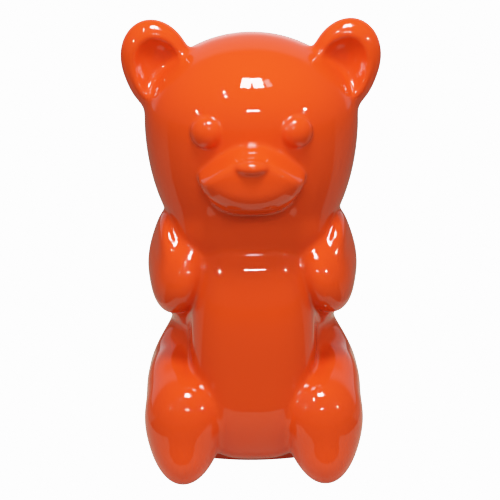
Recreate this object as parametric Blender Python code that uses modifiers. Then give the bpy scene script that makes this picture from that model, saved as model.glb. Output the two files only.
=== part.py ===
"""Gummy bear figure: one moulded piece, a seated bear built up from rounded lobes.

Metres, +Z up.  The bear faces -Y and is the same left and right of X = 0.  It stands on the
flat underside of its hips and feet at Z = 0, with the origin under the middle of its box.
"""
import math

import bmesh
import bpy
import numpy as np
from mathutils import Euler, Matrix, Vector

# Driving dimensions.  A lobe is a rounded volume: its centre, its half sizes along X, Y and Z,
# and the turn in degrees about X, Y and Z that leans it.  Paired lobes are given on the +X side.
HEAD = {"at": (0.0, -0.006, 0.344), "half": (0.1045, 0.090, 0.086), "low": 0.156}
EAR = {"at": (0.0915, -0.010, 0.4032), "half": (0.0337, 0.018, 0.043), "turn": (0, 18, 0)}
EAR_ROOT = {"at": (0.085, -0.008, 0.387), "half": (0.0325, 0.024, 0.033), "turn": (0, 28, 0)}
EAR_CUP = {"at": (0.0875, -0.037, 0.3985), "half": (0.0275, 0.027, 0.0375), "turn": (0, 20, 0)}
EYE = {"at": (0.0428, -0.0850, 0.3515), "half": (0.0160, 0.0120, 0.0158), "turn": (0, 0, 26)}
NOSE = {"at": (0.0, -0.1215, 0.3262), "half": (0.0152, 0.0095, 0.0072)}
THROAT = {"at": (0.0, -0.034, 0.2460), "half": (0.074, 0.0460, 0.050)}
MUZZLE = {"at": (0.0, -0.082, 0.3085), "half": (0.052, 0.043, 0.035)}
SHOULDERS = {"at": (0.0, -0.0037, 0.1997), "half": (0.1034, 0.0639, 0.0842)}
HIPS = {"at": (0.0, 0.0118, 0.0595), "half": (0.1062, 0.0619, 0.1160)}
BELLY = {"at": (0.0, -0.0227, 0.1020), "half": (0.0629, 0.0785, 0.1480), "low": 0.0954}
UPPER_ARM = {"at": (0.0761, -0.0159, 0.2146), "half": (0.0152, 0.0438, 0.0402), "turn": (1.8, 10.5, 3.9)}
PAW = {"at": (0.0723, -0.0407, 0.1976), "half": (0.0236, 0.0406, 0.0387), "turn": (7.7, -18.9, -16.4)}
THIGH = {"at": (0.0788, -0.0386, 0.0729), "half": (0.0274, 0.0498, 0.0405), "turn": (24.9, 2.4, -5.7)}
KNEE = {"at": (0.0669, -0.0729, 0.0614), "half": (0.0389, 0.0417, 0.0425), "turn": (1, -4.7, -4.1)}
SHIN = {"at": (0.0693, -0.0714, 0.0313), "half": (0.0282, 0.0500, 0.0313), "turn": (19.5, -0.8, 1.3)}

# How softly an egg-shaped lobe changes from its upper to its lower half, and how square the
# belly is: 2 is an ellipsoid.
EGG_SHOULDER = 0.014
BELLY_POWER = 3.07

# The muzzle is squarish, narrows downwards, and is topped by a gable that falls to both
# corners of the mouth: GABLE_TOP is where its ridge meets the nose.
MUZZLE_POWER = 3.0
MUZZLE_CHIN_WIDTH = 0.75
MUZZLE_NARROWS = (0.270, 0.315)
GABLE_TOP = Vector((0.0, -0.124, 0.3327))
GABLE_SLOPE = Vector((0.57, -0.27, 0.776))
GABLE_RIDGE = 0.018
GABLE_DROOP = 0.006
MOUTH_CORNER = 0.050

# Below the mouth the muzzle falls back in one slope that rises in a smile to both corners.
LIP = Vector((0.0, -0.119, 0.2835))
LIP_SLOPE = Vector((0.0, -0.766, -0.643))
LIP_SMILE = 12.0

# Widths of the soft joints between lobes.  The one along the belly widens over CHEST_TOP.
WAIST_FILLET = 0.034
ARM_ROOT_FILLET = 0.0221
LEG_ROOT_FILLET = 0.0292
BELLY_FILLET = 0.0100
CHEST_FILLET = 0.0202
CHEST_TOP = (0.195, 0.235)
ARM_FILLET = 0.0163
LEG_FILLET = 0.040
THIGH_FILLET = 0.0228
EAR_FILLET = 0.014
EAR_ROOT_FILLET = 0.010
EAR_RIM_FILLET = 0.006
MUZZLE_FILLET = 0.007
LIP_FILLET = 0.009
THROAT_FILLET = 0.012
MUZZLE_ROOT_FILLET = 0.006
NOSE_FILLET = 0.005
EYE_FILLET = 0.0025
NECK_FILLET = 0.008

# Edge lengths of the skin and how often each is settled: first roughly, then evenly.
SKIN_PASSES = ((0.004, 10), (0.0025, 4))
EVENING_ROUNDS = 5
SETTLE_LIMIT = 0.003
SLOPE_STEP = 0.0002
TRIANGLES = 8600

LACQUER_COLOUR = (0.80, 0.056, 0.007, 1.0)
LACQUER_ROUGHNESS = 0.08


def length(rows):
    """Length of each row of an array of vectors."""
    return np.sqrt((rows * rows).sum(-1))


def turn_of(lobe):
    """The lobe's own axes, as the columns of a matrix."""
    around_x, around_y, around_z = (math.radians(angle) for angle in lobe.get("turn", (0, 0, 0)))
    return Euler((around_x, around_y, around_z), "XYZ").to_matrix()


def from_lobe(points, lobe):
    """Places of the points along the lobe's own axes."""
    return (points - np.array(lobe["at"])) @ np.array(turn_of(lobe))


def half_sizes(own, lobe):
    """The lobe's half sizes at each point; an egg has another height below its centre."""
    half = np.tile(np.array(lobe["half"]), (len(own), 1))
    if "low" in lobe:
        rise = 1.0 / (1.0 + np.exp(-own[:, 2] / EGG_SHOULDER))
        half[:, 2] = lobe["low"] + (half[:, 2] - lobe["low"]) * rise
    return half


def ellipsoid(points, lobe, power=2.0):
    """Rough distance to the lobe's skin, below zero inside; a higher power is squarer."""
    own = from_lobe(points, lobe)
    half = half_sizes(own, lobe)
    share = np.abs(own / half) + 1e-9
    size = (share**power).sum(-1) ** (1.0 / power)
    steepness = length(share ** (power - 1.0) / half) * size ** (1.0 - power)
    return (size - 1.0) / steepness


def join(first, second, fillet):
    """Two volumes as one, with a soft inner corner."""
    near = np.maximum(fillet - np.abs(first - second), 0.0) / fillet
    return np.minimum(first, second) - near**3 * fillet / 6.0


def carve(volume, tool, fillet):
    """The volume less the tool, with a soft rim."""
    return -join(-volume, tool, fillet)


def keep_inside(volume, limit, fillet):
    """What is in both volumes, with a soft edge."""
    return -join(-volume, -limit, fillet)


def ease(values, low, high):
    """Rises smoothly from 0 at low to 1 at high."""
    part = np.clip((values - low) / (high - low), 0.0, 1.0)
    return part * part * (3.0 - 2.0 * part)


def trunk_surface(points, side):
    """Shoulders and hips with the arms and legs on them, and the belly in front."""
    trunk = join(ellipsoid(points, SHOULDERS), ellipsoid(points, HIPS), WAIST_FILLET)
    arm = join(ellipsoid(side, PAW), ellipsoid(side, UPPER_ARM), ARM_FILLET)
    trunk = join(trunk, arm, ARM_ROOT_FILLET)
    leg = join(ellipsoid(side, KNEE), ellipsoid(side, SHIN), LEG_FILLET)
    leg = join(leg, ellipsoid(side, THIGH), THIGH_FILLET)
    trunk = join(trunk, leg, LEG_ROOT_FILLET)
    top = ease(points[:, 2], *CHEST_TOP)
    fillet = BELLY_FILLET + (CHEST_FILLET - BELLY_FILLET) * top
    return join(trunk, ellipsoid(points, BELLY, BELLY_POWER), fillet)


def muzzle_surface(points):
    """The muzzle between its gable and its lip."""
    wide = ease(points[:, 2], *MUZZLE_NARROWS)
    width = MUZZLE_CHIN_WIDTH + (1.0 - MUZZLE_CHIN_WIDTH) * wide
    widened = points.copy()
    widened[:, 0] /= width
    muzzle = ellipsoid(widened, MUZZLE, MUZZLE_POWER) * width
    across = np.sqrt(points[:, 0] ** 2 + GABLE_RIDGE**2) - GABLE_RIDGE
    gable = across * GABLE_SLOPE.x
    gable += (points[:, 1] - GABLE_TOP.y) * GABLE_SLOPE.y
    gable += (points[:, 2] - GABLE_TOP.z) * GABLE_SLOPE.z
    gable += GABLE_DROOP * (points[:, 0] / MOUTH_CORNER) ** 4
    muzzle = keep_inside(muzzle, gable, MUZZLE_FILLET)
    under = (points[:, 1] - LIP.y) * LIP_SLOPE.y
    under += (points[:, 2] - LIP.z - LIP_SMILE * points[:, 0] ** 2) * LIP_SLOPE.z
    return keep_inside(muzzle, under, LIP_FILLET)


def head_surface(points, side):
    """Head, hollowed ears, throat, muzzle, nose and eyes."""
    ear = join(ellipsoid(side, EAR), ellipsoid(side, EAR_ROOT), EAR_ROOT_FILLET)
    ear = carve(ear, ellipsoid(side, EAR_CUP), EAR_RIM_FILLET)
    head = join(ellipsoid(points, HEAD), ear, EAR_FILLET)
    head = join(head, ellipsoid(points, THROAT), THROAT_FILLET)
    head = join(head, muzzle_surface(points), MUZZLE_ROOT_FILLET)
    head = join(head, ellipsoid(points, NOSE), NOSE_FILLET)
    return join(head, ellipsoid(side, EYE), EYE_FILLET)


def bear_surface(points):
    """Rough distance to the bear's skin, below zero inside."""
    side = points.copy()
    side[:, 0] = np.abs(side[:, 0])
    return join(trunk_surface(points, side), head_surface(points, side), NECK_FILLET)


def settle(mesh):
    """Moves every vertex onto the bear's skin along the skin's slope."""
    places = np.empty(len(mesh.vertices) * 3, dtype=np.float32)
    mesh.vertices.foreach_get("co", places)
    places = places.reshape(-1, 3).astype(np.float64)
    slope = np.empty_like(places)
    for axis in range(3):
        nudge = np.zeros(3)
        nudge[axis] = SLOPE_STEP
        slope[:, axis] = bear_surface(places + nudge) - bear_surface(places - nudge)
    slope /= 2.0 * SLOPE_STEP
    steepness = np.maximum(length(slope), 0.2)
    for _ in range(3):
        gap = np.clip(bear_surface(places) / steepness, -SETTLE_LIMIT, SETTLE_LIMIT)
        places -= (gap / steepness)[:, None] * slope
    mesh.vertices.foreach_set("co", places.astype(np.float32).ravel())
    mesh.update()


def relax(mesh):
    """Evens out the vertices along the skin."""
    skin = bmesh.new()
    skin.from_mesh(mesh)
    bmesh.ops.smooth_vert(
        skin, verts=skin.verts, factor=0.5, use_axis_x=True, use_axis_y=True, use_axis_z=True
    )
    skin.to_mesh(mesh)
    skin.free()


def rough_lobes():
    """Every lobe as a stretched and turned ball, the paired ones on both sides."""
    balls = bmesh.new()
    flip = Matrix.Diagonal((-1.0, 1.0, 1.0, 1.0))
    singles = (HEAD, THROAT, MUZZLE, NOSE, SHOULDERS, HIPS, BELLY)
    pairs = (EAR, EAR_ROOT, EYE, UPPER_ARM, PAW, THIGH, KNEE, SHIN)
    for lobe in singles + pairs:
        width, depth, high = lobe["half"]
        low = lobe.get("low", high)
        middle = Vector(lobe["at"]) + Vector((0.0, 0.0, (high - low) / 2.0))
        stretch = Matrix.Diagonal((width, depth, (high + low) / 2.0, 1.0))
        place = Matrix.Translation(middle) @ turn_of(lobe).to_4x4() @ stretch
        spots = (place, flip @ place @ flip) if lobe in pairs else (place,)
        for spot in spots:
            bmesh.ops.create_uvsphere(balls, u_segments=64, v_segments=40, radius=1.0, matrix=spot)
    return balls


def modified(obj):
    """The object's mesh as its modifiers leave it."""
    shaped = obj.evaluated_get(bpy.context.evaluated_depsgraph_get())
    mesh = bpy.data.meshes.new_from_object(shaped)
    obj.modifiers.clear()
    old = obj.data
    obj.data = mesh
    bpy.data.meshes.remove(old)
    return mesh


def one_skin(obj):
    """Melts the lobes into one closed skin and draws it onto the bear's true surface."""
    for step, rounds in SKIN_PASSES:
        remesh = obj.modifiers.new("one skin", "REMESH")
        remesh.mode = "VOXEL"
        remesh.voxel_size = step
        mesh = modified(obj)
        for _ in range(EVENING_ROUNDS):
            relax(mesh)
        for _ in range(rounds):
            settle(mesh)
            relax(mesh)


def coarsen(obj):
    """Leaves the flat places few facets and the tight ones many."""
    thin = obj.modifiers.new("fewer facets", "DECIMATE")
    thin.ratio = TRIANGLES / (2.0 * len(obj.data.polygons))
    thin.use_symmetry = True
    thin.symmetry_axis = "X"
    return modified(obj)


def stand_flat(mesh):
    """Makes the halves alike, cuts the underside flat at Z = 0 and centres the bear over it."""
    bear = bmesh.new()
    bear.from_mesh(mesh)
    bmesh.ops.symmetrize(bear, input=bear.verts[:] + bear.edges[:] + bear.faces[:], direction="X")
    bmesh.ops.bisect_plane(
        bear, geom=bear.verts[:] + bear.edges[:] + bear.faces[:], dist=0.00001,
        plane_co=(0.0, 0.0, 0.0), plane_no=(0.0, 0.0, 1.0), clear_inner=True,
    )
    rim = [edge for edge in bear.edges if edge.is_boundary]
    bmesh.ops.edgeloop_fill(bear, edges=rim)
    bmesh.ops.triangulate(bear, faces=bear.faces[:])
    bmesh.ops.recalc_face_normals(bear, faces=bear.faces[:])
    depths = [vert.co.y for vert in bear.verts]
    middle = (min(depths) + max(depths)) / 2.0
    bmesh.ops.translate(bear, verts=bear.verts[:], vec=(0.0, -middle, 0.0))
    bear.to_mesh(mesh)
    bear.free()


def lacquer():
    """Orange gloss lacquer over the moulding."""
    material = bpy.data.materials.new("orange lacquer")
    material.use_nodes = True
    shader = material.node_tree.nodes["Principled BSDF"]
    shader.inputs["Base Color"].default_value = LACQUER_COLOUR
    shader.inputs["Roughness"].default_value = LACQUER_ROUGHNESS
    shader.inputs["Metallic"].default_value = 0.0
    shader.inputs["Coat Weight"].default_value = 1.0
    material.diffuse_color = LACQUER_COLOUR
    return material


def build():
    """Clears the scene and models the bear in a collection of its own."""
    for obj in list(bpy.data.objects):
        bpy.data.objects.remove(obj, do_unlink=True)
    collection = bpy.data.collections.new("Gummy bear figure")
    bpy.context.scene.collection.children.link(collection)
    mesh = bpy.data.meshes.new("gummy_bear")
    balls = rough_lobes()
    balls.to_mesh(mesh)
    balls.free()
    bear = bpy.data.objects.new("gummy_bear", mesh)
    collection.objects.link(bear)
    one_skin(bear)
    coarsen(bear)
    stand_flat(bear.data)
    bear.data.shade_smooth()
    bear.data.set_sharp_from_angle(angle=math.radians(50))
    bear.data.materials.append(lacquer())


build()
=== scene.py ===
import math

import bmesh
import bpy
import numpy as np
from mathutils import Euler, Matrix, Vector


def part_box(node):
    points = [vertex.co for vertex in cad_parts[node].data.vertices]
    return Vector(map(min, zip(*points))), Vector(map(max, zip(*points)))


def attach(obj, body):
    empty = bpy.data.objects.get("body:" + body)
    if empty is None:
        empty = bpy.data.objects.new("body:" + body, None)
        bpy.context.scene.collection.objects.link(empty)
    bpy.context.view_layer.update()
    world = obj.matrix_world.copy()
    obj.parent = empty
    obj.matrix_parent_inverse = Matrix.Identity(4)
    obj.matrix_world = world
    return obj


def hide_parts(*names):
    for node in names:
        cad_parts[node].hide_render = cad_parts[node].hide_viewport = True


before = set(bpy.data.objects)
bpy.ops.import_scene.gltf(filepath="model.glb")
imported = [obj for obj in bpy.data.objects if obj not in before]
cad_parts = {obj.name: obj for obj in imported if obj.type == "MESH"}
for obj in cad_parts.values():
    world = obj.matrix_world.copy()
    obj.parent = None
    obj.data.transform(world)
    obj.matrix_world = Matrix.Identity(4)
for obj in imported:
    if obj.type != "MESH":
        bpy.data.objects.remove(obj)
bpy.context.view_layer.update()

# ---------------------------------------------------------------------------------------
# Trunk.  Shoulders and hips, the core of the pattern that the figure is moulded from.  A lobe
# is a rounded volume: its centre, its half sizes in metres along X, Y and Z, and its lean in
# degrees.  The bear faces -Y and is the same left and right of X = 0.
SHOULDERS = {"at": (0.0, -0.0037, 0.1997), "half": (0.1034, 0.0639, 0.0842)}
HIPS = {"at": (0.0, 0.0118, 0.0595), "half": (0.1062, 0.0619, 0.1160)}
EGG_SHOULDER = 0.014
NOTHING = 1e-9
BALL_SEGMENTS, BALL_RINGS = 64, 40
WAIST_FILLET = 0.034

pattern = bmesh.new()


def length(rows):
    """Length of each row of an array of vectors."""
    return np.sqrt((rows * rows).sum(-1))


def turn_of(lobe):
    """The lobe's own axes, as the columns of a matrix."""
    around_x, around_y, around_z = (math.radians(angle) for angle in lobe.get("turn", (0, 0, 0)))
    return Euler((around_x, around_y, around_z), "XYZ").to_matrix()


def from_lobe(points, lobe):
    """Places of the points along the lobe's own axes."""
    return (points - np.array(lobe["at"])) @ np.array(turn_of(lobe))


def half_sizes(own, lobe):
    """The lobe's half sizes at each point; an egg has another height below its centre."""
    half = np.tile(np.array(lobe["half"]), (len(own), 1))
    if "low" in lobe:
        rise = 1.0 / (1.0 + np.exp(-own[:, 2] / EGG_SHOULDER))
        half[:, 2] = lobe["low"] + (half[:, 2] - lobe["low"]) * rise
    return half


def ellipsoid(points, lobe, power=2.0):
    """Rough distance to the lobe's skin, below zero inside; a higher power is squarer."""
    own = from_lobe(points, lobe)
    half = half_sizes(own, lobe)
    share = np.abs(own / half) + NOTHING
    size = (share**power).sum(-1) ** (1.0 / power)
    steepness = length(share ** (power - 1.0) / half) * size ** (1.0 - power)
    return (size - 1.0) / steepness


def join(first, second, fillet):
    """Two volumes as one, with a soft inner corner."""
    near = np.maximum(fillet - np.abs(first - second), 0.0) / fillet
    return np.minimum(first, second) - near**3 * fillet / 6.0


def add_lobe(lobe, pair=False):
    """Adds the lobe to the pattern as a stretched and turned ball, on both sides if a pair."""
    width, depth, high = lobe["half"]
    low = lobe.get("low", high)
    middle = Vector(lobe["at"]) + Vector((0.0, 0.0, (high - low) / 2.0))
    stretch = Matrix.Diagonal((width, depth, (high + low) / 2.0, 1.0))
    flip = Matrix.Diagonal((-1.0, 1.0, 1.0, 1.0))
    place = Matrix.Translation(middle) @ turn_of(lobe).to_4x4() @ stretch
    for spot in (place, flip @ place @ flip) if pair else (place,):
        bmesh.ops.create_uvsphere(
            pattern, u_segments=BALL_SEGMENTS, v_segments=BALL_RINGS, radius=1.0, matrix=spot
        )


def trunk(points):
    """Shoulders and hips."""
    return join(ellipsoid(points, SHOULDERS), ellipsoid(points, HIPS), WAIST_FILLET)


for lobe in (SHOULDERS, HIPS):
    add_lobe(lobe)

# ---------------------------------------------------------------------------------------
# Arms.  Two short paws that point forward, modelled onto the trunk with a tight crease under
# the arm and a long easy slope over the shoulder.
UPPER_ARM = {"at": (0.0761, -0.0159, 0.2146), "half": (0.0152, 0.0438, 0.0402),
             "turn": (1.8, 10.5, 3.9)}
PAW = {"at": (0.0723, -0.0407, 0.1976), "half": (0.0236, 0.0406, 0.0387),
       "turn": (7.7, -18.9, -16.4)}
ARM_FILLET = 0.0163
ARM_ROOT_FILLET = 0.0221


def with_arms(body, side):
    """The body with its arms on."""
    arm = join(ellipsoid(side, PAW), ellipsoid(side, UPPER_ARM), ARM_FILLET)
    return join(body, arm, ARM_ROOT_FILLET)


for lobe in (UPPER_ARM, PAW):
    add_lobe(lobe, pair=True)

# ---------------------------------------------------------------------------------------
# Legs.  Two stout legs stretched forward on the ground, each a thigh, a round knee and a
# foot in one soft swelling.
THIGH = {"at": (0.0788, -0.0386, 0.0729), "half": (0.0274, 0.0498, 0.0405),
         "turn": (24.9, 2.4, -5.7)}
KNEE = {"at": (0.0669, -0.0729, 0.0614), "half": (0.0389, 0.0417, 0.0425), "turn": (1, -4.7, -4.1)}
SHIN = {"at": (0.0693, -0.0714, 0.0313), "half": (0.0282, 0.0500, 0.0313),
        "turn": (19.5, -0.8, 1.3)}
LEG_FILLET = 0.040
THIGH_FILLET = 0.0228
LEG_ROOT_FILLET = 0.0292


def with_legs(body, side):
    """The body with its legs on."""
    leg = join(ellipsoid(side, KNEE), ellipsoid(side, SHIN), LEG_FILLET)
    leg = join(leg, ellipsoid(side, THIGH), THIGH_FILLET)
    return join(body, leg, LEG_ROOT_FILLET)


for lobe in (THIGH, KNEE, SHIN):
    add_lobe(lobe, pair=True)

# ---------------------------------------------------------------------------------------
# Belly.  A tall flat-fronted barrel set on the trunk between the limbs, with a tight crease
# along the legs and a softer one towards the arms.
BELLY = {"at": (0.0, -0.0227, 0.1020), "half": (0.0629, 0.0785, 0.1480), "low": 0.0954}
BELLY_POWER = 3.07
BELLY_FILLET = 0.0100
CHEST_FILLET = 0.0202
CHEST_TOP = (0.195, 0.235)


def ease(values, low, high):
    """Rises smoothly from 0 at low to 1 at high."""
    part = np.clip((values - low) / (high - low), 0.0, 1.0)
    return part * part * (3.0 - 2.0 * part)


def with_belly(body, points):
    """The body with its belly on."""
    top = ease(points[:, 2], *CHEST_TOP)
    fillet = BELLY_FILLET + (CHEST_FILLET - BELLY_FILLET) * top
    return join(body, ellipsoid(points, BELLY, BELLY_POWER), fillet)


add_lobe(BELLY)

# ---------------------------------------------------------------------------------------
# Head and ears.  A wide egg with two upright ears, each a leaf with a thick rim and a
# shallow hollow pressed into its front.
HEAD = {"at": (0.0, -0.006, 0.344), "half": (0.1045, 0.090, 0.086), "low": 0.156}
EAR = {"at": (0.0915, -0.010, 0.4032), "half": (0.0337, 0.018, 0.043), "turn": (0, 18, 0)}
EAR_ROOT = {"at": (0.085, -0.008, 0.387), "half": (0.0325, 0.024, 0.033), "turn": (0, 28, 0)}
EAR_CUP = {"at": (0.0875, -0.037, 0.3985), "half": (0.0275, 0.027, 0.0375), "turn": (0, 20, 0)}
EAR_FILLET = 0.014
EAR_ROOT_FILLET = 0.010
EAR_RIM_FILLET = 0.006


def carve(volume, tool, fillet):
    """The volume less the tool, with a soft rim."""
    return -join(-volume, tool, fillet)


def head_with_ears(points, side):
    """The head with its hollowed ears."""
    ear = join(ellipsoid(side, EAR), ellipsoid(side, EAR_ROOT), EAR_ROOT_FILLET)
    ear = carve(ear, ellipsoid(side, EAR_CUP), EAR_RIM_FILLET)
    return join(ellipsoid(points, HEAD), ear, EAR_FILLET)


add_lobe(HEAD)
for lobe in (EAR, EAR_ROOT):
    add_lobe(lobe, pair=True)

# ---------------------------------------------------------------------------------------
# Muzzle, nose and eyes.  The muzzle is squarish and narrows downwards.  It is topped by a
# gable that falls to both corners of the mouth.  Nose and eyes are plain round knobs.
MUZZLE = {"at": (0.0, -0.082, 0.3085), "half": (0.052, 0.043, 0.035)}
NOSE = {"at": (0.0, -0.1215, 0.3262), "half": (0.0152, 0.0095, 0.0072)}
THROAT = {"at": (0.0, -0.034, 0.2460), "half": (0.074, 0.0460, 0.050)}
EYE = {"at": (0.0428, -0.0850, 0.3515), "half": (0.0160, 0.0120, 0.0158), "turn": (0, 0, 26)}
MUZZLE_POWER = 3.0
MUZZLE_CHIN_WIDTH = 0.75
MUZZLE_NARROWS = (0.270, 0.315)
GABLE_TOP = Vector((0.0, -0.124, 0.3327))
GABLE_SLOPE = Vector((0.57, -0.27, 0.776))
GABLE_RIDGE = 0.018
GABLE_DROOP = 0.006
MOUTH_CORNER = 0.050
LIP = Vector((0.0, -0.119, 0.2835))
LIP_SLOPE = Vector((0.0, -0.766, -0.643))
LIP_SMILE = 12.0
LIP_FILLET = 0.009
THROAT_FILLET = 0.012
MUZZLE_FILLET = 0.007
MUZZLE_ROOT_FILLET = 0.006
NOSE_FILLET = 0.005
EYE_FILLET = 0.0025


def keep_inside(volume, limit, fillet):
    """What is in both volumes, with a soft edge."""
    return -join(-volume, -limit, fillet)


def muzzle(points):
    """The muzzle between its gable and its lip."""
    wide = ease(points[:, 2], *MUZZLE_NARROWS)
    width = MUZZLE_CHIN_WIDTH + (1.0 - MUZZLE_CHIN_WIDTH) * wide
    widened = points.copy()
    widened[:, 0] /= width
    block = ellipsoid(widened, MUZZLE, MUZZLE_POWER) * width
    across = np.sqrt(points[:, 0] ** 2 + GABLE_RIDGE**2) - GABLE_RIDGE
    gable = across * GABLE_SLOPE.x
    gable += (points[:, 1] - GABLE_TOP.y) * GABLE_SLOPE.y
    gable += (points[:, 2] - GABLE_TOP.z) * GABLE_SLOPE.z
    gable += GABLE_DROOP * (points[:, 0] / MOUTH_CORNER) ** 4
    block = keep_inside(block, gable, MUZZLE_FILLET)
    under = (points[:, 1] - LIP.y) * LIP_SLOPE.y
    under += (points[:, 2] - LIP.z - LIP_SMILE * points[:, 0] ** 2) * LIP_SLOPE.z
    return keep_inside(block, under, LIP_FILLET)


def with_face(head, points, side):
    """The head with its muzzle, nose and eyes on."""
    head = join(head, ellipsoid(points, THROAT), THROAT_FILLET)
    head = join(head, muzzle(points), MUZZLE_ROOT_FILLET)
    head = join(head, ellipsoid(points, NOSE), NOSE_FILLET)
    return join(head, ellipsoid(side, EYE), EYE_FILLET)


for lobe in (THROAT, MUZZLE, NOSE):
    add_lobe(lobe)
add_lobe(EYE, pair=True)

# ---------------------------------------------------------------------------------------
# The moulding.  The finished figure is one hollow resin casting without a joint or seam, so
# all lobes are melted into one closed skin and then drawn onto their true blended surface.
# It stands on the flat cut through its hips and feet.
NECK_FILLET = 0.008
SKIN_PASSES = ((0.004, 10), (0.0023, 6))
EVENING_ROUNDS = 5
SETTLE_LIMIT = 0.003
SLOPE_STEP = 0.0002
SETTLE_ROUNDS = 3
FLATTEST_SLOPE = 0.2
CUT_MERGE = 0.00001
SHARP_ANGLE = math.radians(50.0)


def bear_surface(points):
    """Rough distance to the bear's skin, below zero inside."""
    side = points.copy()
    side[:, 0] = np.abs(side[:, 0])
    body = with_belly(with_legs(with_arms(trunk(points), side), side), points)
    head = with_face(head_with_ears(points, side), points, side)
    return join(body, head, NECK_FILLET)


def slope_at(places):
    """How fast the distance grows along X, Y and Z."""
    slope = np.empty_like(places)
    for axis in range(3):
        nudge = np.zeros(3)
        nudge[axis] = SLOPE_STEP
        slope[:, axis] = bear_surface(places + nudge) - bear_surface(places - nudge)
    return slope / (2.0 * SLOPE_STEP)


def places_of(mesh):
    """The places of a mesh's vertices as rows."""
    places = np.empty(len(mesh.vertices) * 3, dtype=np.float32)
    mesh.vertices.foreach_get("co", places)
    return places.reshape(-1, 3).astype(np.float64)


def settle(mesh):
    """Moves every vertex onto the bear's skin along the skin's slope."""
    places = places_of(mesh)
    slope = slope_at(places)
    steepness = np.maximum(length(slope), FLATTEST_SLOPE)
    for _ in range(SETTLE_ROUNDS):
        gap = np.clip(bear_surface(places) / steepness, -SETTLE_LIMIT, SETTLE_LIMIT)
        places -= (gap / steepness)[:, None] * slope
    mesh.vertices.foreach_set("co", places.astype(np.float32).ravel())
    mesh.update()


def relax(mesh):
    """Evens out the vertices along the skin."""
    skin = bmesh.new()
    skin.from_mesh(mesh)
    bmesh.ops.smooth_vert(
        skin, verts=skin.verts, factor=0.5, use_axis_x=True, use_axis_y=True, use_axis_z=True
    )
    skin.to_mesh(mesh)
    skin.free()


def melt(piece, step):
    """Turns the piece into one skin of even small faces."""
    remesh = piece.modifiers.new("one skin", "REMESH")
    remesh.mode = "VOXEL"
    remesh.voxel_size = step
    shaped = piece.evaluated_get(bpy.context.evaluated_depsgraph_get())
    mesh = bpy.data.meshes.new_from_object(shaped)
    piece.modifiers.clear()
    piece.data = mesh


mesh = bpy.data.meshes.new("bear_moulding")
pattern.to_mesh(mesh)
pattern.free()
bear = bpy.data.objects.new("bear_moulding", mesh)
bpy.context.scene.collection.objects.link(bear)
for step, rounds in SKIN_PASSES:
    melt(bear, step)
    for _ in range(EVENING_ROUNDS):
        relax(bear.data)
    for _ in range(rounds):
        settle(bear.data)
        relax(bear.data)
    settle(bear.data)

skin = bmesh.new()
skin.from_mesh(bear.data)
bmesh.ops.bisect_plane(
    skin, geom=skin.verts[:] + skin.edges[:] + skin.faces[:], dist=CUT_MERGE,
    plane_co=(0.0, 0.0, 0.0), plane_no=(0.0, 0.0, 1.0), clear_inner=True,
)
bmesh.ops.edgeloop_fill(skin, edges=[edge for edge in skin.edges if edge.is_boundary])
bmesh.ops.recalc_face_normals(skin, faces=skin.faces[:])
lowest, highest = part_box("gummy_bear")
depths = [vert.co.y for vert in skin.verts]
to_middle = (lowest[1] + highest[1] - min(depths) - max(depths)) / 2.0
bmesh.ops.translate(skin, verts=skin.verts[:], vec=(0.0, to_middle, 0.0))
skin.to_mesh(bear.data)
skin.free()
bear.data.shade_smooth()
bear.data.set_sharp_from_angle(angle=SHARP_ANGLE)
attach(bear, "root")
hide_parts("gummy_bear")

# ---------------------------------------------------------------------------------------
# The finish.  Orange two-pack lacquer sprayed over the primed resin and left as it came off
# the gun.  It is glassy with a slight orange peel.  The hand-rubbed primer under it has faint
# level strokes, STROKE_LENGTH times as long as they are high, and a slow waviness.
ORANGE = "E74314"
PEEL_MM = 2.6
PEEL_DEPTH = 0.00002
STROKE_MM = 5.0
STROKE_DEPTH = 0.00004
STROKE_LENGTH = 6.0
WAVE_MM = 24.0
WAVE_DEPTH = 0.00012


def linear(hex_colour):
    """An sRGB hex colour as linear red, green, blue and 1."""
    parts = [int(hex_colour[i:i + 2], 16) / 255.0 for i in (0, 2, 4)]
    return [p / 12.92 if p <= 0.04045 else ((p + 0.055) / 1.055) ** 2.4 for p in parts] + [1.0]


def add_node(tree, kind, settings, inputs):
    """Adds a node; an input that is another node's output is linked, any other is set."""
    node = tree.nodes.new(kind)
    for name, value in settings.items():
        setattr(node, name, value)
    for name, value in inputs.items():
        if isinstance(value, bpy.types.NodeSocket):
            tree.links.new(value, node.inputs[name])
        else:
            node.inputs[name].default_value = value
    return node


# Two-pack lacquer over resin: a saturated body colour under a clear gloss of IOR 1.5.
lacquer = bpy.data.materials.new("sprayed orange lacquer")
lacquer.use_nodes = True
tree = lacquer.node_tree
tree.nodes.clear()
place = add_node(tree, "ShaderNodeTexCoord", {}, {})
peel = add_node(tree, "ShaderNodeTexNoise", {}, {
    "Vector": place.outputs["Object"], "Scale": 1000.0 / PEEL_MM, "Detail": 1.0,
})
wave = add_node(tree, "ShaderNodeTexNoise", {}, {
    "Vector": place.outputs["Object"], "Scale": 1000.0 / WAVE_MM, "Detail": 1.0,
})
wavy = add_node(tree, "ShaderNodeBump", {}, {
    "Height": wave.outputs["Fac"], "Distance": WAVE_DEPTH, "Strength": 1.0,
})
level = add_node(tree, "ShaderNodeMapping", {}, {
    "Vector": place.outputs["Object"], "Scale": (1.0 / STROKE_LENGTH, 1.0 / STROKE_LENGTH, 1.0),
})
stroke = add_node(tree, "ShaderNodeTexNoise", {}, {
    "Vector": level.outputs["Vector"], "Scale": 1000.0 / STROKE_MM, "Detail": 0.0,
})
flatted = add_node(tree, "ShaderNodeBump", {}, {
    "Height": stroke.outputs["Fac"], "Distance": STROKE_DEPTH, "Strength": 1.0,
    "Normal": wavy.outputs["Normal"],
})
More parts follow.
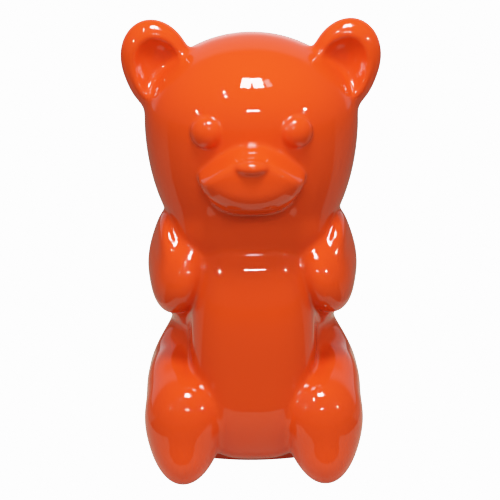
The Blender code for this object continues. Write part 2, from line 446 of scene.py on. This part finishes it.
peeled = add_node(tree, "ShaderNodeBump", {}, {
    "Height": peel.outputs["Fac"], "Distance": PEEL_DEPTH, "Strength": 1.0,
    "Normal": flatted.outputs["Normal"],
})
shader = add_node(tree, "ShaderNodeBsdfPrincipled", {}, {
    "Base Color": linear(ORANGE), "Roughness": 0.4, "IOR": 1.5, "Specular IOR Level": 0.0,
    "Coat Weight": 1.0, "Coat Roughness": 0.018, "Coat IOR": 1.5,
    "Normal": wavy.outputs["Normal"], "Coat Normal": peeled.outputs["Normal"],
})
add_node(tree, "ShaderNodeOutputMaterial", {}, {"Surface": shader.outputs["BSDF"]})
bear.data.materials.clear()
bear.data.materials.append(lacquer)

# ---------------------------------------------------------------------------------------
# The stage.  A plain pale floor.  What the gloss mirrors from below is a small pale board
# under the figure and a grey table round it, so those two stand in for the floor there.
FLOOR_SIZE = 12.0
BOARD_FRONT = -0.221
BOARD_SIDE = 0.28
BOARD_BACK = 1.2
SWEEP_FRONT = 0.05


def flat_sheet(name, corner, far_corner, height, colour, glow=0.0):
    """A flat rectangle of matt paper facing up, which also glows evenly in its own colour by glow.
    """
    sheet = bmesh.new()
    bmesh.ops.create_grid(sheet, x_segments=1, y_segments=1, size=0.5)
    width, depth = far_corner[0] - corner[0], far_corner[1] - corner[1]
    bmesh.ops.scale(sheet, vec=(width, depth, 1.0), verts=sheet.verts)
    middle = ((corner[0] + far_corner[0]) / 2.0, (corner[1] + far_corner[1]) / 2.0, height)
    bmesh.ops.translate(sheet, vec=middle, verts=sheet.verts)
    mesh = bpy.data.meshes.new(name)
    sheet.to_mesh(mesh)
    sheet.free()
    material = bpy.data.materials.new(name + " paper")
    material.use_nodes = True
    sheet_shader = material.node_tree.nodes["Principled BSDF"]
    sheet_shader.inputs["Base Color"].default_value = linear(colour)
    sheet_shader.inputs["Roughness"].default_value = 0.9
    sheet_shader.inputs["Specular IOR Level"].default_value = 0.1
    sheet_shader.inputs["Emission Color"].default_value = linear(colour)
    sheet_shader.inputs["Emission Strength"].default_value = glow
    mesh.materials.append(material)
    obj = bpy.data.objects.new(name, mesh)
    bpy.context.scene.collection.objects.link(obj)
    return obj


floor = flat_sheet("floor", (-FLOOR_SIZE, -FLOOR_SIZE), (FLOOR_SIZE, FLOOR_SIZE), -0.0018,
                   "F2F2F2", 2.5)
floor.visible_glossy = False
floor.visible_diffuse = False
# The board glows a little in its own colour. This is painted light that stands in for lamp light
# on a real board, so the board stays bright in the gloss and lights the lower body even where the
# figure's shade would fall on it.
board = flat_sheet("board", (-BOARD_SIDE, BOARD_FRONT), (BOARD_SIDE, BOARD_BACK), -0.0006,
                   "A89E8C", 0.40)
board.visible_camera = False
table = flat_sheet("table", (-FLOOR_SIZE, -FLOOR_SIZE), (FLOOR_SIZE, FLOOR_SIZE), -0.0012,
                   "404040")
table.visible_camera = False
sweep = flat_sheet("cloth on the table", (-FLOOR_SIZE, SWEEP_FRONT), (FLOOR_SIZE, FLOOR_SIZE),
                   -0.0009, "98907F")
sweep.visible_camera = False

# ---------------------------------------------------------------------------------------
# The light.  A white cloth close behind the figure, a twin soft box above and in front, and
# a few small lamps further round.  The rest of the room is dim.
CLOTH_BRIGHT = 0.42
CLOTH_FOOT = 0.95
ROOM_DIM = 0.07
FILL = 0.20
SEEN = 3.0
# Where the cloth begins and where it is straight behind, as the Y of a mirrored direction,
# and how high its brighter foot reaches, as its Z.
CLOTH_EDGE = (0.44, 0.60)
CLOTH_MIDDLE = (0.75, 1.0)
CLOTH_FOOT_TOP = (0.15, 0.45)

world = bpy.data.worlds.new("studio")
world.use_nodes = True
bpy.context.scene.world = world
tree = world.node_tree
tree.nodes.clear()
way = add_node(tree, "ShaderNodeTexCoord", {}, {})
split = add_node(tree, "ShaderNodeSeparateXYZ", {}, {"Vector": way.outputs["Generated"]})
behind = add_node(tree, "ShaderNodeMapRange", {"interpolation_type": "SMOOTHSTEP"}, {
    "Value": split.outputs["Y"], "From Min": CLOTH_EDGE[0], "From Max": CLOTH_EDGE[1],
    "To Min": ROOM_DIM, "To Max": CLOTH_BRIGHT,
})
straight = add_node(tree, "ShaderNodeMapRange", {"interpolation_type": "SMOOTHSTEP"}, {
    "Value": split.outputs["Y"], "From Min": CLOTH_MIDDLE[0], "From Max": CLOTH_MIDDLE[1],
    "To Min": 0.0, "To Max": CLOTH_FOOT - CLOTH_BRIGHT,
})
low = add_node(tree, "ShaderNodeMapRange", {"interpolation_type": "SMOOTHSTEP"}, {
    "Value": split.outputs["Z"], "From Min": CLOTH_FOOT_TOP[0], "From Max": CLOTH_FOOT_TOP[1],
    "To Min": 1.0, "To Max": 0.0,
})
mirrored = add_node(tree, "ShaderNodeMath", {"operation": "MULTIPLY_ADD"}, {
    0: straight.outputs["Result"], 1: low.outputs["Result"], 2: behind.outputs["Result"],
})
path = add_node(tree, "ShaderNodeLightPath", {}, {})
soft = add_node(tree, "ShaderNodeMix", {"data_type": "FLOAT"}, {
    0: path.outputs["Is Diffuse Ray"], 2: mirrored.outputs[0], 3: FILL,
})
shown = add_node(tree, "ShaderNodeMix", {"data_type": "FLOAT"}, {
    0: path.outputs["Is Camera Ray"], 2: soft.outputs[0], 3: SEEN,
})
cloth = add_node(tree, "ShaderNodeBackground", {}, {
    "Color": (1.0, 1.0, 1.0, 1.0), "Strength": shown.outputs[0],
})
add_node(tree, "ShaderNodeOutputWorld", {}, {"Surface": cloth.outputs["Background"]})


def lamp(name, at, towards, size, power):
    """A flat soft lamp at a place, turned towards another."""
    light = bpy.data.lights.new(name, "AREA")
    light.shape = "RECTANGLE"
    light.size, light.size_y = size
    light.energy = power
    obj = bpy.data.objects.new(name, light)
    obj.location = at
    obj.rotation_euler = (Vector(towards) - Vector(at)).to_track_quat("-Z", "Y").to_euler()
    bpy.context.scene.collection.objects.link(obj)
    return obj


def seen_from_face(azimuth, elevation, away):
    """The place at a bearing from the bear's brow, from straight ahead towards +X."""
    around, rise = math.radians(azimuth), math.radians(elevation)
    way_there = Vector((math.sin(around) * math.cos(rise), -math.cos(around) * math.cos(rise),
                        math.sin(rise)))
    return Vector((0.0, -0.06, 0.38)) + way_there * away


BROW = (0.0, -0.03, 0.33)
LAMPS = (
    ("soft box left", (-0.075, -0.47, 1.41), (0.17, 0.28), 6.2),
    ("soft box right", (0.105, -0.47, 1.41), (0.17, 0.28), 6.2),
    ("bounce card", (0.27, -0.47, 1.41), (0.10, 0.20), 0.35),
    ("lamp high left", seen_from_face(-40, 52, 1.6), (0.04, 0.06), 1.2),
    ("lamp left", seen_from_face(-33, 46, 1.6), (0.06, 0.03), 0.9),
    ("strip ahead", seen_from_face(2, 27, 1.7), (0.34, 0.04), 3.6),
    ("lamp low left", seen_from_face(-58, 19, 1.6), (0.05, 0.05), 2.4),
    ("lamp low right", seen_from_face(58, 20, 1.6), (0.05, 0.05), 2.8),
)
for name, at, size, power in LAMPS:
    lamp(name, at, BROW, size, power)

# The white walls round the stand light the body softly, but are too dim to be mirrored.
WALLS = (
    ("wall ahead", (0.0, -1.0, 0.78), (0.7, 0.4), 2.9),
    ("wall left", (-1.2, -0.4, 0.40), (0.5, 0.5), 1.3),
    ("wall right", (1.2, -0.4, 0.40), (0.5, 0.5), 1.6),
)
for name, at, size, power in WALLS:
    wall = lamp(name, at, BROW, size, power)
    wall.visible_glossy = False

# ---------------------------------------------------------------------------------------
# The camera.  A long lens a little above the figure, looking slightly down on it.
CAMERA_AWAY = 2.2
LENS_MM = 158.4
SENSOR_MM = 36.0
CAMERA_DOWN = math.radians(17.0)
CAMERA_ROLL = math.radians(-0.5)
CAMERA_TARGET = Vector((-0.0024, 0.024, 0.209))

lens = bpy.data.cameras.new("camera")
lens.sensor_width = SENSOR_MM
lens.lens = LENS_MM
camera = bpy.data.objects.new("camera", lens)
bpy.context.scene.collection.objects.link(camera)
ahead = Vector((0.0, math.cos(CAMERA_DOWN), -math.sin(CAMERA_DOWN)))
level_up = Vector((0.0, math.sin(CAMERA_DOWN), math.cos(CAMERA_DOWN)))
sideways = Vector((1.0, 0.0, 0.0))
right = sideways * math.cos(CAMERA_ROLL) + level_up * math.sin(CAMERA_ROLL)
up = level_up * math.cos(CAMERA_ROLL) - sideways * math.sin(CAMERA_ROLL)
turn = Matrix((right, up, -ahead)).transposed().to_4x4()
camera.matrix_world = Matrix.Translation(CAMERA_TARGET - ahead * CAMERA_AWAY) @ turn
bpy.context.scene.camera = camera

# The film's curve: it keeps the lit orange from burning out and rolls the lamps off to white.
FILM_WHITE = 3.0
FILM_CURVE = ((0.0, 0.0), (0.65, 0.65), (1.0, 0.83), (1.35, 0.905), (3.0, 1.0))
view = bpy.context.scene.view_settings
view.view_transform = "Standard"
view.use_curve_mapping = True
film = view.curve_mapping
film.white_level = (FILM_WHITE, FILM_WHITE, FILM_WHITE)
curve = film.curves[3]
for dose, tone in FILM_CURVE[1:-1]:
    curve.points.new(dose / FILM_WHITE, tone)
film.update()
